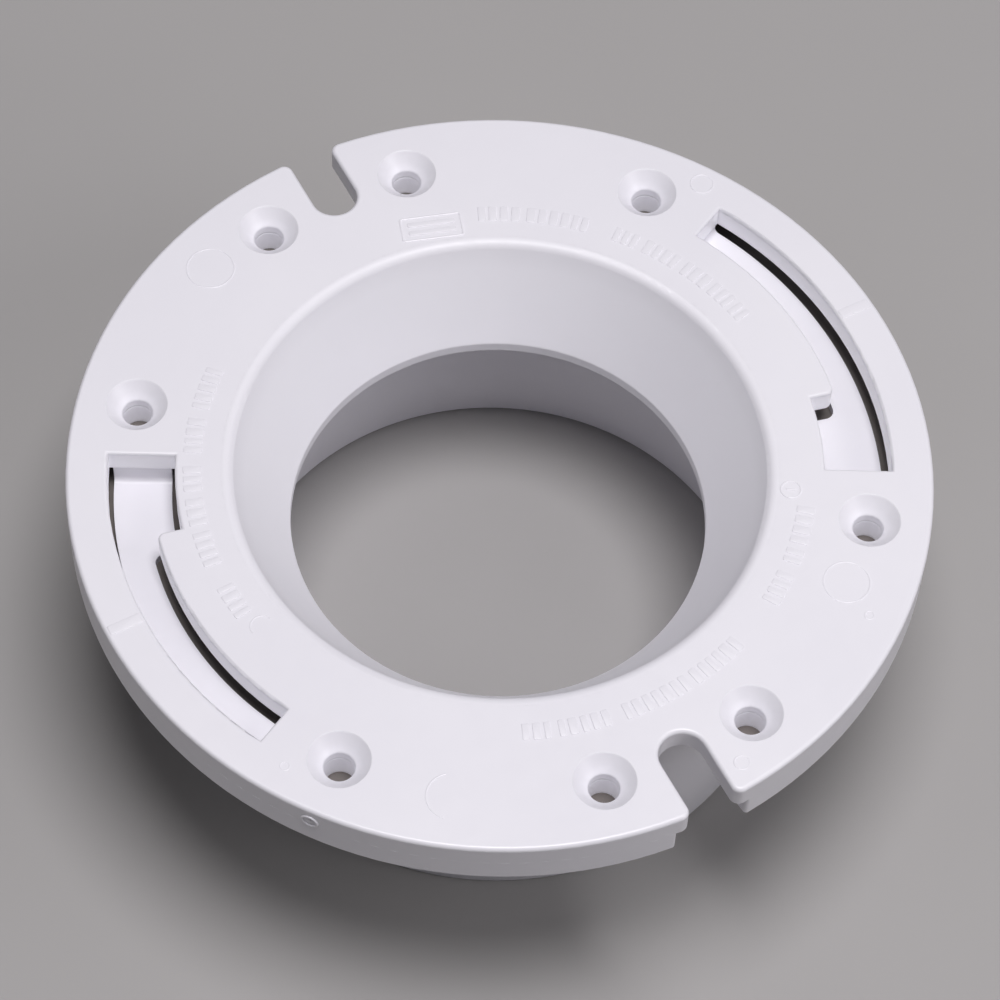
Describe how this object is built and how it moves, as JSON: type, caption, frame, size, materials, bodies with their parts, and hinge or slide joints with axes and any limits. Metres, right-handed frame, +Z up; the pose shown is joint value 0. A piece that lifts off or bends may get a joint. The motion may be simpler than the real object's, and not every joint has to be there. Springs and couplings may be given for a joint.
{
  "type": "toilet flange",
  "caption": "White plastic closet flange: a round plate with screw holes, bolt notches and keyed arc slots, a funnel throat and a hub that slides over the drain pipe.",
  "frame": {"origin": "centre of the floor-screw patterns and of the bore, in the plane of the finished floor under the rim", "axes": "+Z up out of the mouth along the bore; the open bolt notches are on +Y and -Y, the keyed slots on +X and -X"},
  "size_m": [0.1778, 0.1772, 0.0667],
  "materials": {
    "pvc": "moulded, semi-gloss white"
  },
  "bodies": {
    "root": {"face_plate": "pvc", "mouth_funnel": "pvc", "pipe_hub": "pvc", "screw_bosses": "pvc", "underside_ribs": "pvc", "rim_skirt_east": "pvc", "rim_skirt_west": "pvc", "slot_floor_east": "pvc", "slot_floor_west": "pvc"}
  },
  "joints": []
}
